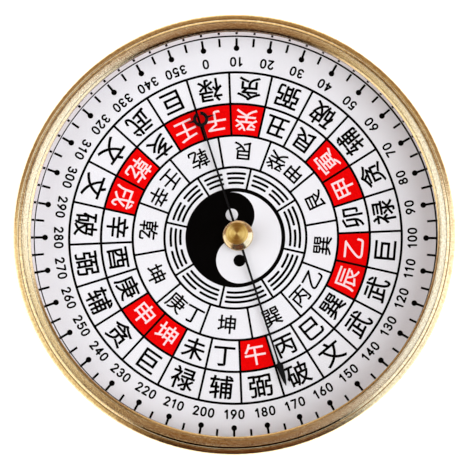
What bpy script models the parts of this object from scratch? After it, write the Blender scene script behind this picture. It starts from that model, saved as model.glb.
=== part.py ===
"""Feng shui compass: a low turned brass case, a crystal, a printed dial and a
free-swinging needle on a steel point.

Frame: origin at the centre of the flat base, +Z up through the crystal, +Y to
the top of the dial picture. Metres. The needle turns about the vertical line
through the pivot point.
"""

import math

import bmesh
import bpy
from mathutils import Matrix

MM = 0.001

# ---------------------------------------------------------------- dimensions
# Radii and heights in millimetres, from the centre of the flat base.
CASE_R = 40.0             # widest radius, on the bead round the case's mouth
CASE_WALL_R = (39.26, 38.86)  # plain side wall, tapering to the base
CASE_BORE_R = 38.80
CASE_REBATE = (39.15, 10.36)   # step in its mouth for the bezel's flange
CASE_FLOOR = 0.7          # thickness of the cup's floor
BEAD_R = 0.575            # radius of the bead's section
BEAD_Z = 10.3             # height of its widest line
BASE_EDGE = 0.6           # rounding between side wall and flat base

DIAL_R = 36.25
DIAL_XY = (-0.05, -0.03)  # the dial has a little play in the wall ring
DIAL_TOP = 3.8
DIAL_T = 0.8

SUPPORT_R = 38.3
SUPPORT_Z = (1.0, 2.7)    # moulded backing under dial and wall ring
SUPPORT_POCKET_R = 2.9    # pocket for washer and nut
SUPPORT_WEB = 0.4

WALL_R = (36.55, 38.3)    # polished wall ring round the dial
WALL_MOUTH_R = 36.82      # its bore opens a little toward the crystal
WALL_Z = (3.05, 9.2)
WALL_EASE = 0.12
WALL_REBATE = (37.06, 8.66)   # step round its top for the seal

GASKET_R = (37.40, 37.95)
GASKET_Z = (8.97, 9.21)

CRYSTAL_R = 37.95
CRYSTAL_Z = (9.5, 10.5)
CRYSTAL_BEVEL = 0.12

BEZEL_R = 38.50           # outside of the bezel's skirt
BEZEL_FLANGE = (38.85, 10.66)   # its flange over the case's mouth
BEZEL_SKIRT_R = 38.10     # inside of its skirt, round the crystal
BEZEL_LIP_R = 36.78       # innermost edge, over the crystal
BEZEL_BOTTOM = 9.0
BEZEL_UNDER = 10.7

PIVOT_XY = (0.44, 0.25)   # the needle's point stands a little off the centre
NEEDLE_DEG = -72.3        # direction of the needle's tip, from +X

POST_SHANK_R = 1.0
POST_SHOULDER_R = 1.15
POST_BORE_R = 0.65
POST_HOLE_R = 1.3         # hole in dial and backing
POST_SHOULDER_Z = (DIAL_TOP + 0.20, DIAL_TOP + 0.45)
PIN_R = 0.35
PIN_TIP = DIAL_TOP + 3.65

NUT_FLATS = 3.8
NUT_Z = (1.05, 1.65)
WASHER_R = (1.3, 2.4)
WASHER_Z = (1.87, 2.07)

BLADE_TIP = 28.72         # hub axis to the arrow's tip
BLADE_RING_C = 22.36      # hub axis to the centre of the tail ring
BLADE_HALF_W = 0.20
BLADE_T = 0.22
BLADE_Z = DIAL_TOP + 0.80
ARROW_LEN = 4.0
ARROW_HALF_W = 0.62
ARROW_SHOULDER = 0.4
RING_R = (0.80, 1.38)
RING_GAP = 0.5
BARB_REACH = 2.65
BLADE_HUB_R = (2.05, 2.6)

CAP_R = 2.78              # flange at the foot of the cap
CAP_TOP_R = 1.94          # flat turned top
CAP_TOP = DIAL_TOP + 5.30
CAP_FOOT = DIAL_TOP + 1.22
CAP_TENON = DIAL_TOP + 0.32
CAP_TENON_R = 1.75
CAP_BORE_R = 1.45
CAP_BORE_TOP = DIAL_TOP + 4.60
JEWEL_R = 1.15
JEWEL_Z = (DIAL_TOP + 3.40, DIAL_TOP + 4.25)
COLLAR_R = (2.05, 2.55)
COLLAR_Z = (DIAL_TOP + 0.32, DIAL_TOP + 0.57)

SEG_CASE = 96             # sides of the large turned pieces
SEG_HUB = 40              # sides of the small turned pieces


# ------------------------------------------------------------------- helpers
def clear_scene():
    for old in list(bpy.data.objects):
        bpy.data.objects.remove(old, do_unlink=True)


def make_collection(name):
    collection = bpy.data.collections.get(name)
    if collection is None:
        collection = bpy.data.collections.new(name)
    if collection.name not in bpy.context.scene.collection.children:
        bpy.context.scene.collection.children.link(collection)
    return collection


def material(name, color, metallic, roughness, transmission=0.0, ior=1.45):
    mat = bpy.data.materials.new(name)
    mat.use_nodes = True
    shader = mat.node_tree.nodes["Principled BSDF"]
    shader.inputs["Base Color"].default_value = (*color, 1.0)
    shader.inputs["Metallic"].default_value = metallic
    shader.inputs["Roughness"].default_value = roughness
    shader.inputs["Transmission Weight"].default_value = transmission
    shader.inputs["IOR"].default_value = ior
    mat.diffuse_color = (*color, 1.0)
    return mat


def arc(cx, cz, radius, start_deg, end_deg, count):
    """Points along an arc in the profile plane, end points included."""
    points = []
    for i in range(count + 1):
        a = math.radians(start_deg + (end_deg - start_deg) * i / count)
        points.append((cx + radius * math.cos(a), cz + radius * math.sin(a)))
    return points


def turned(name, profile, segments, mat, closed, sharp_deg=35.0):
    """A turned piece: the profile (radius, height) swept round Z.

    An open profile starts and ends on the axis; a closed one is a ring's
    section. Both run down their outer side.
    """
    mesh = bpy.data.meshes.new(name)
    verts = [(r * MM, 0.0, z * MM) for r, z in profile]
    edges = [(i, i + 1) for i in range(len(verts) - 1)]
    if closed:
        edges.append((len(verts) - 1, 0))
    mesh.from_pydata(verts, edges, [])
    obj = bpy.data.objects.new(name, mesh)
    PARTS.objects.link(obj)
    screw = obj.modifiers.new("Turn", "SCREW")
    screw.axis = "Z"
    screw.angle = 2.0 * math.pi
    screw.screw_offset = 0.0
    screw.steps = segments
    screw.render_steps = segments
    screw.use_merge_vertices = True
    screw.merge_threshold = 0.000002
    screw.use_smooth_shade = True
    obj.data.materials.append(mat)
    return obj


def flat_outline(name, loops, thickness, mat):
    """A flat piece cut from sheet: closed loops filled and given thickness."""
    curve = bpy.data.curves.new(name + "_outline", "CURVE")
    curve.dimensions = "2D"
    curve.fill_mode = "BOTH"
    curve.extrude = 0.5 * thickness * MM
    for loop in loops:
        spline = curve.splines.new("POLY")
        spline.points.add(len(loop) - 1)
        for point, (x, y) in zip(spline.points, loop):
            point.co = (x * MM, y * MM, 0.0, 1.0)
        spline.use_cyclic_u = True
    guide = bpy.data.objects.new(name + "_outline", curve)
    bpy.context.scene.collection.objects.link(guide)
    bpy.context.view_layer.update()
    evaluated = guide.evaluated_get(bpy.context.evaluated_depsgraph_get())
    mesh = bpy.data.meshes.new_from_object(evaluated)
    mesh.name = name
    bpy.data.objects.remove(guide, do_unlink=True)
    bpy.data.curves.remove(curve)
    work = bmesh.new()
    work.from_mesh(mesh)
    bmesh.ops.remove_doubles(work, verts=work.verts, dist=0.000002)
    bmesh.ops.recalc_face_normals(work, faces=work.faces)
    work.to_mesh(mesh)
    work.free()
    obj = bpy.data.objects.new(name, mesh)
    PARTS.objects.link(obj)
    mesh.materials.clear()
    mesh.materials.append(mat)
    return obj


def circle(radius, count, phase=0.0):
    return [
        (
            radius * math.cos(phase + 2.0 * math.pi * i / count),
            radius * math.sin(phase + 2.0 * math.pi * i / count),
        )
        for i in range(count)
    ]


def at_pivot(obj, height=0.0):
    obj.location = (PIVOT_XY[0] * MM, PIVOT_XY[1] * MM, height * MM)
    return obj


# ----------------------------------------------------------------- the model
clear_scene()
PARTS = make_collection("feng_shui_compass")

BRASS = material("turned_brass", (0.78, 0.55, 0.25), 1.0, 0.28)
BEZEL_BRASS = material("bezel_brass", (0.80, 0.58, 0.28), 1.0, 0.25)
WALL_METAL = material("polished_wall", (0.90, 0.82, 0.78), 1.0, 0.08)
CLEAR = material("crystal_clear", (0.97, 0.98, 0.98), 0.0, 0.03, 1.0, 1.49)
SEAL = material("seal_black", (0.03, 0.035, 0.03), 0.0, 0.6)
DIAL_WHITE = material("dial_white", (0.90, 0.90, 0.93), 0.0, 0.35)
BACKING = material("backing_plastic", (0.03, 0.03, 0.032), 0.0, 0.55)
POST_BRASS = material("post_brass", (0.76, 0.56, 0.27), 1.0, 0.35)
STEEL = material("pin_steel", (0.62, 0.62, 0.64), 1.0, 0.15)
NUT_BRASS = material("nut_brass", (0.74, 0.55, 0.27), 1.0, 0.4)
WASHER_STEEL = material("washer_steel", (0.58, 0.58, 0.58), 1.0, 0.35)
NEEDLE_BLACK = material("needle_black", (0.012, 0.012, 0.016), 0.6, 0.35)
CAP_BRASS = material("cap_brass", (0.80, 0.56, 0.22), 1.0, 0.22)
JEWEL = material("jewel_glass", (0.75, 0.12, 0.12), 0.0, 0.1, 0.6, 1.7)
COLLAR_BRASS = material("collar_brass", (0.74, 0.53, 0.24), 1.0, 0.35)

# Case: a turned cup with a flat base, a plain tapered wall and a half-round
# bead round its mouth. The profile runs up the inside, over the bead and down
# the outside to the axis.
bead_c = CASE_R - BEAD_R
case_profile = [(0.0, CASE_FLOOR), (CASE_BORE_R - 0.6, CASE_FLOOR)]
case_profile += arc(CASE_BORE_R - 0.6, CASE_FLOOR + 0.6, 0.6, -60.0, 0.0, 2)
rebate_r, rebate_z = CASE_REBATE
case_profile += [(CASE_BORE_R, rebate_z), (rebate_r, rebate_z)]
case_profile += arc(bead_c, BEAD_Z, BEAD_R, 118.0, -60.0, 11)
case_profile += [(CASE_WALL_R[0] + 0.05, BEAD_Z - 0.74), (CASE_WALL_R[0], BEAD_Z - 1.2)]
case_profile += arc(CASE_WALL_R[1] - BASE_EDGE, BASE_EDGE, BASE_EDGE, 0.0, -90.0, 5)
case_profile += [(0.0, 0.0)]
turned("case_cup", case_profile, SEG_CASE, BRASS, closed=False)

# Bezel: a ring pressed into the case's mouth. Its skirt stands round the
# crystal and its lip reaches over it.
flange_r, flange_z = BEZEL_FLANGE
bezel_profile = [(flange_r, 10.80), (flange_r, flange_z), (BEZEL_R, flange_z)]
bezel_profile += [(BEZEL_R, BEZEL_BOTTOM)]
bezel_profile += [(BEZEL_SKIRT_R, BEZEL_BOTTOM), (BEZEL_SKIRT_R, BEZEL_UNDER)]
bezel_profile += [(BEZEL_LIP_R + 0.08, BEZEL_UNDER), (BEZEL_LIP_R, BEZEL_UNDER + 0.10)]
bezel_profile += [(BEZEL_LIP_R, 10.98), (36.86, 11.12), (37.00, 11.19)]
bezel_profile += [(37.16, 11.20), (37.32, 11.13), (37.44, 11.05), (37.60, 11.10)]
bezel_profile += [(37.90, 11.20), (38.20, 11.27), (38.34, 11.25)]
bezel_profile += [(38.44, 11.18)]
turned("bezel_ring", bezel_profile, SEG_CASE, BEZEL_BRASS, closed=True)

# Crystal: a flat clear disc with eased edges.
low, high = CRYSTAL_Z
turned(
    "crystal",
    [
        (0.0, high),
        (CRYSTAL_R - CRYSTAL_BEVEL, high),
        (CRYSTAL_R, high - CRYSTAL_BEVEL),
        (CRYSTAL_R, low + CRYSTAL_BEVEL),
        (CRYSTAL_R - CRYSTAL_BEVEL, low),
        (0.0, low),
    ],
    SEG_CASE,
    CLEAR,
    closed=False,
)


def flat_ring(name, radii, heights, segments, mat, ease=0.0):
    """A ring of rectangular section, its corners eased by `ease`."""
    r0, r1 = radii
    z0, z1 = heights
    if ease:
        section = [
            (r0, z1 - ease), (r0 + ease, z1), (r1 - ease, z1), (r1, z1 - ease),
            (r1, z0 + ease), (r1 - ease, z0), (r0 + ease, z0), (r0, z0 + ease),
        ]
    else:
        section = [(r0, z1), (r1, z1), (r1, z0), (r0, z0)]
    return turned(name, section, segments, mat, closed=True)


flat_ring("crystal_gasket", GASKET_R, GASKET_Z, SEG_CASE, SEAL)
wall_in, wall_out = WALL_R
wall_low, wall_high = WALL_Z
step_r, step_z = WALL_REBATE
wall_section = [(wall_in, wall_low + WALL_EASE), (wall_in, DIAL_TOP)]
wall_section += [(WALL_MOUTH_R, wall_high - 0.16), (WALL_MOUTH_R + 0.10, wall_high)]
wall_section += [(step_r, wall_high), (step_r, step_z)]
wall_section += [(wall_out - WALL_EASE, step_z), (wall_out, step_z - WALL_EASE)]
wall_section += [(wall_out, wall_low + WALL_EASE), (wall_out - WALL_EASE, wall_low)]
wall_section += [(wall_in + WALL_EASE, wall_low)]
turned("inner_wall_ring", wall_section, SEG_CASE, WALL_METAL, closed=True)

# Dial and backing. Their small centre hole is on the pivot, which stands off
# the case's centre, so both are cut from a flat outline.
dial = flat_outline(
    "dial_plate",
    [
        circle(DIAL_R, SEG_CASE),
        [
            (x + PIVOT_XY[0] - DIAL_XY[0], y + PIVOT_XY[1] - DIAL_XY[1])
            for x, y in circle(POST_HOLE_R, 24)
        ],
    ],
    DIAL_T,
    DIAL_WHITE,
)
dial.location = (
    DIAL_XY[0] * MM,
    DIAL_XY[1] * MM,
    (DIAL_TOP - 0.5 * DIAL_T) * MM,
)

web_z0 = SUPPORT_Z[1] - SUPPORT_WEB
support = flat_outline(
    "dial_support",
    [
        circle(SUPPORT_R, SEG_CASE),
        [(x + PIVOT_XY[0], y + PIVOT_XY[1]) for x, y in circle(POST_HOLE_R, 24)],
    ],
    SUPPORT_Z[1] - SUPPORT_Z[0],
    BACKING,
)
support.location.z = 0.5 * (SUPPORT_Z[0] + SUPPORT_Z[1]) * MM

CUTTERS = make_collection("cutters")
pocket_mesh = bpy.data.meshes.new("nut_pocket_cutter")
pocket_bm = bmesh.new()
pocket_depth = web_z0 - SUPPORT_Z[0] + 0.5
bmesh.ops.create_cone(
    pocket_bm,
    cap_ends=True,
    cap_tris=False,
    segments=24,
    radius1=SUPPORT_POCKET_R * MM,
    radius2=SUPPORT_POCKET_R * MM,
    depth=pocket_depth * MM,
    matrix=Matrix.Translation((0.0, 0.0, (web_z0 - 0.5 * pocket_depth) * MM)),
)
pocket_bm.to_mesh(pocket_mesh)
pocket_bm.free()
pocket = bpy.data.objects.new("nut_pocket_cutter", pocket_mesh)
CUTTERS.objects.link(pocket)
pocket.display_type = "WIRE"
pocket.hide_render = True
at_pivot(pocket)
cut = support.modifiers.new("Nut pocket", "BOOLEAN")
cut.operation = "DIFFERENCE"
cut.solver = "EXACT"
cut.object = pocket

# Pivot: a flanged post through dial and backing, drawn down by a nut on a
# washer, with a hardened steel point pressed into its top.
shoulder_z0, shoulder_z1 = POST_SHOULDER_Z
bore_floor = DIAL_TOP - 1.3
post_profile = [(0.0, bore_floor), (POST_BORE_R, bore_floor)]
post_profile += [(POST_BORE_R, shoulder_z1), (POST_SHOULDER_R - 0.08, shoulder_z1)]
post_profile += [(POST_SHOULDER_R, shoulder_z1 - 0.08), (POST_SHOULDER_R, shoulder_z0)]
post_profile += [(POST_SHANK_R, shoulder_z0), (POST_SHANK_R, 1.12)]
post_profile += [(POST_SHANK_R - 0.1, 1.02), (0.0, 1.02)]
at_pivot(turned("pivot_post", post_profile, SEG_HUB, POST_BRASS, closed=False))

pin_profile = [(0.0, PIN_TIP), (0.05, PIN_TIP - 0.06), (PIN_R, PIN_TIP - 0.85)]
pin_profile += [(PIN_R, bore_floor + 0.35), (PIN_R - 0.06, bore_floor + 0.3)]
pin_profile += [(0.0, bore_floor + 0.3)]
at_pivot(turned("pivot_pin", pin_profile, SEG_HUB // 2, STEEL, closed=False))

at_pivot(
    flat_outline(
        "pivot_nut",
        [circle(NUT_FLATS / math.sqrt(3.0), 6), circle(POST_HOLE_R, 24)],
        NUT_Z[1] - NUT_Z[0],
        NUT_BRASS,
    ),
    0.5 * (NUT_Z[0] + NUT_Z[1]),
)
at_pivot(
    flat_ring("pivot_washer", WASHER_R, WASHER_Z, SEG_HUB, WASHER_STEEL)
)

# Needle assembly, all of it under one empty on the vertical pivot line. Its
# own +X runs from the hub to the arrow's tip.
needle_axis = bpy.data.objects.new("needle_axis", None)
PARTS.objects.link(needle_axis)
needle_axis.location = (PIVOT_XY[0] * MM, PIVOT_XY[1] * MM, 0.0)
needle_axis.rotation_euler = (0.0, 0.0, math.radians(NEEDLE_DEG))


def on_needle(obj, height=0.0):
    obj.parent = needle_axis
    obj.location = (0.0, 0.0, height * MM)
    return obj


def blade_half():
    """Upper half of the blade's outline, from the tip back to the tail."""
    hub_r = BLADE_HUB_R[1]
    r0, r1 = RING_R
    half = [(BLADE_TIP, 0.0), (BLADE_TIP - 0.9, 0.5 * ARROW_HALF_W)]
    half += [(BLADE_TIP - ARROW_LEN, ARROW_HALF_W)]
    half += [(BLADE_TIP - ARROW_LEN - ARROW_SHOULDER, BLADE_HALF_W)]
    start = math.degrees(math.asin(BLADE_HALF_W / hub_r))
    half += arc(0.0, 0.0, hub_r, start, 180.0 - start, 16)
    start = math.degrees(math.asin(BLADE_HALF_W / r1))
    half += arc(-BLADE_RING_C, 0.0, r1, start, 79.0, 8)
    half += [(-BLADE_RING_C, BARB_REACH)]
    gap_out = 180.0 - math.degrees(math.asin(0.5 * RING_GAP / r1))
    half += arc(-BLADE_RING_C, 0.0, r1, 101.0, gap_out, 8)
    gap_in = 180.0 - math.degrees(math.asin(0.5 * RING_GAP / r0))
    half += arc(-BLADE_RING_C, 0.0, r0, gap_in, 0.0, 12)
    return half


upper = blade_half()
lower = [(x, -y) for x, y in reversed(upper[1:-1])]
on_needle(
    flat_outline(
        "needle_blade",
        [upper + lower, circle(BLADE_HUB_R[0], SEG_HUB)],
        BLADE_T,
        NEEDLE_BLACK,
    ),
    BLADE_Z + 0.5 * BLADE_T,
)

cap_profile = [(0.0, CAP_TOP), (CAP_TOP_R - 0.06, CAP_TOP)]
cap_profile += [(CAP_TOP_R, CAP_TOP - 0.08), (CAP_TOP_R + 0.14, CAP_FOOT + 0.95)]
cap_profile += [(CAP_TOP_R + 0.22, CAP_FOOT + 0.76), (CAP_R - 0.07, CAP_FOOT + 0.18)]
cap_profile += [(CAP_R, CAP_FOOT + 0.10)]
cap_profile += [(CAP_R, CAP_FOOT), (CAP_TENON_R, CAP_FOOT)]
cap_profile += [(CAP_TENON_R, CAP_TENON), (CAP_BORE_R, CAP_TENON)]
cap_profile += [(CAP_BORE_R, CAP_BORE_TOP), (0.0, CAP_BORE_TOP)]
on_needle(turned("hub_cap", cap_profile, SEG_HUB, CAP_BRASS, closed=False))

jewel_profile = [(0.0, JEWEL_Z[1]), (JEWEL_R - 0.1, JEWEL_Z[1])]
jewel_profile += [(JEWEL_R, JEWEL_Z[1] - 0.1), (JEWEL_R, JEWEL_Z[0])]
jewel_profile += [(0.70, JEWEL_Z[0]), (0.12, JEWEL_Z[0] + 0.52)]
jewel_profile += [(0.0, JEWEL_Z[0] + 0.56)]
on_needle(turned("hub_jewel", jewel_profile, SEG_HUB, JEWEL, closed=False))

on_needle(
    flat_ring("hub_collar", COLLAR_R, COLLAR_Z, SEG_HUB, COLLAR_BRASS)
)

bpy.context.view_layer.update()
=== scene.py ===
"""Looks of the feng shui compass: turned brass case and bezel, polished wall,
printed dial, needle and hub, on a white studio floor.

Lengths are in millimetres in the tables and become metres where meshes are
made. The frame has +Z up through the crystal and +Y to the top of the dial.
"""

import math

import bmesh
import bpy
import numpy as np
from mathutils import Matrix, Vector


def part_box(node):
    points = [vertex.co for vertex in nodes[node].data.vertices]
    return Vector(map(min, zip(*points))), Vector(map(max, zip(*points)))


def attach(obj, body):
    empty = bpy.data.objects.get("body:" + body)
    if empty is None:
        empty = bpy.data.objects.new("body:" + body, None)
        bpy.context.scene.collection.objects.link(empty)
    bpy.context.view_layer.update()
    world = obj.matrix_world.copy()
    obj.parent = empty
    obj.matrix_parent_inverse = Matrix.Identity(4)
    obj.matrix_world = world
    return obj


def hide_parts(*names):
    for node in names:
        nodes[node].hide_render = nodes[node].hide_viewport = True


MM = 0.001
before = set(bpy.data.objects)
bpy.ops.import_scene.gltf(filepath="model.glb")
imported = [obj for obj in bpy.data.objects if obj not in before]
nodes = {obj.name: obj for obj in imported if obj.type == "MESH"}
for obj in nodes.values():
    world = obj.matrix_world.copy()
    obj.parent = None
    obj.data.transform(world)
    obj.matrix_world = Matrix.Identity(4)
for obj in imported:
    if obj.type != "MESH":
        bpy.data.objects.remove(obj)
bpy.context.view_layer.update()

DIAL_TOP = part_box("dial_plate")[1].z / MM
DIAL_XY = (-0.09, -0.05)
PIVOT_XY = (0.44, 0.25)
NEEDLE_DEG = -72.3        # direction of the needle's tip from +X
DIAL_TURN = -9.65         # the dial's zero, clockwise from +Y
U = 0.18161               # millimetres to one unit of the dial's drawing

scene = bpy.context.scene


# ------------------------------------------------------------ shader helpers
class Nodes:
    """A material's or world's node tree with short ways to add to it."""

    def __init__(self, tree):
        self.tree = tree

    def add(self, kind, **settings):
        node = self.tree.nodes.new(kind)
        for key, value in settings.items():
            setattr(node, key, value)
        return node

    def link(self, source, target):
        self.tree.links.new(source, target)

    def feed(self, socket, value):
        if isinstance(value, bpy.types.NodeSocket):
            self.link(value, socket)
        else:
            socket.default_value = value

    def math(self, operation, a, b=0.0, c=None, clamp=False):
        node = self.add("ShaderNodeMath", operation=operation, use_clamp=clamp)
        self.feed(node.inputs[0], a)
        self.feed(node.inputs[1], b)
        if c is not None:
            self.feed(node.inputs[2], c)
        return node.outputs[0]

    def ramp(self, value, low, high, to_low=0.0, to_high=1.0, smooth=False):
        node = self.add("ShaderNodeMapRange")
        node.interpolation_type = "SMOOTHSTEP" if smooth else "LINEAR"
        node.clamp = True
        self.feed(node.inputs["Value"], value)
        self.feed(node.inputs["From Min"], low)
        self.feed(node.inputs["From Max"], high)
        self.feed(node.inputs["To Min"], to_low)
        self.feed(node.inputs["To Max"], to_high)
        return node.outputs["Result"]

    def blend(self, factor, a, b):
        node = self.add("ShaderNodeMix", data_type="RGBA")
        self.feed(node.inputs[0], factor)
        self.feed(node.inputs[6], a)
        self.feed(node.inputs[7], b)
        return node.outputs[2]

    def noise(self, vector, scale, detail=2.0, rough=0.5, distortion=0.0):
        node = self.add("ShaderNodeTexNoise")
        node.noise_dimensions = "3D"
        if vector is not None:
            self.link(vector, node.inputs["Vector"])
        node.inputs["Scale"].default_value = scale
        node.inputs["Detail"].default_value = detail
        node.inputs["Roughness"].default_value = rough
        node.inputs["Distortion"].default_value = distortion
        return node.outputs[0]

    def bump(self, height, strength, distance):
        node = self.add("ShaderNodeBump")
        node.inputs["Strength"].default_value = strength
        node.inputs["Distance"].default_value = distance
        self.link(height, node.inputs["Height"])
        return node.outputs["Normal"]

    def position(self):
        return self.add("ShaderNodeTexCoord").outputs["Object"]

    def polar(self, around, along, height=None):
        """Coordinates that run with the lathe: `around` cells to a turn's
        radius, `along` cells to a metre of radius, `height` to a metre of Z."""
        split = self.add("ShaderNodeSeparateXYZ")
        self.link(self.position(), split.inputs[0])
        x, y, z = split.outputs
        radius = self.math(
            "SQRT", self.math("ADD", self.math("MULTIPLY", x, x), self.math("MULTIPLY", y, y))
        )
        safe = self.math("MAXIMUM", radius, 0.00001)
        join = self.add("ShaderNodeCombineXYZ")
        self.link(self.math("MULTIPLY", self.math("DIVIDE", x, safe), around), join.inputs[0])
        self.link(self.math("MULTIPLY", self.math("DIVIDE", y, safe), around), join.inputs[1])
        level = self.math("MULTIPLY", radius, along)
        if height is not None:
            level = self.math("ADD", level, self.math("MULTIPLY", z, height))
        self.link(level, join.inputs[2])
        return join.outputs[0], radius


def windows(n, spans, soft):
    """1 in the given spans of azimuth (clockwise from +Y, degrees)."""
    split = n.add("ShaderNodeSeparateXYZ")
    n.link(n.position(), split.inputs[0])
    azimuth = n.math("ARCTAN2", split.outputs[0], split.outputs[1])
    total = None
    for low, high in spans:
        away = n.math(
            "ABSOLUTE",
            n.math(
                "WRAP",
                n.math("SUBTRACT", azimuth, math.radians(0.5 * (low + high))),
                math.pi, -math.pi,
            ),
        )
        half = 0.5 * (high - low)
        part = n.ramp(away, math.radians(half + soft), math.radians(half - soft), 0.0, 1.0, True)
        total = part if total is None else n.math("MAXIMUM", total, part)
    return total


def between(n, radius, low, high, soft):
    """1 where the radius (mm) lies in a span."""
    up = n.ramp(radius, (low - soft) * MM, (low + soft) * MM)
    down = n.ramp(radius, (high + soft) * MM, (high - soft) * MM)
    return n.math("MULTIPLY", up, down)


def new_material(name, **values):
    mat = bpy.data.materials.new(name)
    mat.use_nodes = True
    shader = mat.node_tree.nodes["Principled BSDF"]
    for key, value in values.items():
        socket = shader.inputs[key.replace("_", " ")]
        if socket.type == "RGBA" and len(value) == 3:
            value = (*value, 1.0)
        socket.default_value = value
    return mat, Nodes(mat.node_tree), shader


# ----------------------------------------------------------------- materials
def turned_brass(
    name, light, dark, rough, spread, lines, aniso=0.5, bump=0.3, cells=190.0, fleck=0.5,
    seam=False, coat=0.9,
):
    """Lacquered brass off the lathe: fine rings and grainy flecks, and with `seam` a near-black brown
    painted into the bezel's groove, its seam and parts of its lip at set angles: painted shade and painted
    dark reflections."""
    mat, n, shader = new_material(
        name, Metallic=1.0, Anisotropic=aniso, Anisotropic_Rotation=0.25,
        Coat_Weight=coat, Coat_IOR=1.65, Coat_Roughness=0.12,
    )
    tangent = n.add("ShaderNodeTangent", direction_type="RADIAL", axis="Z")
    n.link(tangent.outputs[0], shader.inputs["Tangent"])
    long_way, radius = n.polar(cells * 0.25, lines, lines)
    rings = n.noise(long_way, 1.0, 2.0, 0.55)
    fine_way, _ = n.polar(cells, lines * 0.85, lines * 0.85)
    flecks = n.noise(fine_way, 1.0, 1.5, 0.6)
    broad_way, _ = n.polar(5.0, lines * 0.15, lines * 0.15)
    broad = n.noise(broad_way, 1.0, 2.0, 0.5)
    mottle = n.math(
        "ADD",
        n.math("MULTIPLY", rings, 1.0 - fleck),
        n.math("MULTIPLY", flecks, fleck),
    )
    tone = n.ramp(mottle, 0.38, 0.62)
    colour = n.blend(tone, (*dark, 1.0), (*light, 1.0))
    if seam:
        # Painted shade and painted dark reflections: the valley, the lip, the lip's edge and the outer
        # chamfer with its seam are darkened in the spans of radius and angle below.
        valley = n.math(
            "MULTIPLY",
            between(n, radius, 37.40, 37.48, 0.04),
            n.ramp(rings, 0.40, 0.60, 0.60, 0.10),
        )
        lip = n.math(
            "MULTIPLY",
            n.math(
                "MULTIPLY",
                windows(n, ((-26.0, 26.0),), 9.0),
                n.math(
                    "MAXIMUM",
                    between(n, radius, 36.60, 37.13, 0.05),
                    n.math("MULTIPLY", between(n, radius, 37.00, 37.46, 0.06), 0.62),
                ),
            ),
            n.ramp(flecks, 0.40, 0.58, 1.0, 0.25),
        )
        edge = n.math(
            "MULTIPLY",
            n.math(
                "MAXIMUM",
                n.math(
                    "MULTIPLY",
                    windows(n, ((82.0, 150.0),), 7.0),
                    between(n, radius, 37.10, 37.25, 0.05),
                ),
                n.math(
                    "MULTIPLY",
                    n.math("MULTIPLY", windows(n, ((207.0, 249.0),), 6.0), 0.70),
                    between(n, radius, 37.00, 37.30, 0.06),
                ),
            ),
            n.ramp(flecks, 0.36, 0.62, 0.95, 0.55),
        )
        # Painted dark reflections on the outer chamfer and the seam, in three spans of angle.
        outer = n.math(
            "MAXIMUM",
            n.math(
                "MULTIPLY",
                windows(n, ((148.0, 207.0),), 5.0),
                between(n, radius, 38.64, 38.93, 0.05),
            ),
            n.math(
                "MAXIMUM",
                n.math(
                    "MULTIPLY",
                    n.math("MULTIPLY", windows(n, ((283.0, 321.0),), 6.0), 0.85),
                    between(n, radius, 38.44, 38.62, 0.05),
                ),
                n.math(
                    "MULTIPLY",
                    n.math("MULTIPLY", windows(n, ((33.0, 68.0),), 6.0), 0.60),
                    between(n, radius, 38.54, 38.76, 0.05),
                ),
            ),
        )
        outer = n.math("MULTIPLY", outer, n.ramp(flecks, 0.36, 0.62, 1.0, 0.6))
        painted_shade = n.math("MAXIMUM", n.math("MAXIMUM", valley, outer), n.math("MAXIMUM", lip, edge))
        # The near-black brown is painted shade and painted dark reflection; the coat is thinned under it.
        colour = n.blend(painted_shade, colour, (0.060, 0.022, 0.009, 1.0))
        n.link(
            n.math("MULTIPLY", n.math("SUBTRACT", 1.0, painted_shade), coat), shader.inputs["Coat Weight"]
        )
    n.link(colour, shader.inputs["Base Color"])
    wear = n.math("ADD", n.math("MULTIPLY", mottle, 0.6), n.math("MULTIPLY", broad, 0.4))
    n.link(n.ramp(wear, 0.35, 0.65, rough - spread, rough + spread), shader.inputs["Roughness"])
    n.link(n.bump(mottle, bump, 0.00008), shader.inputs["Normal"])
    return mat


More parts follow.
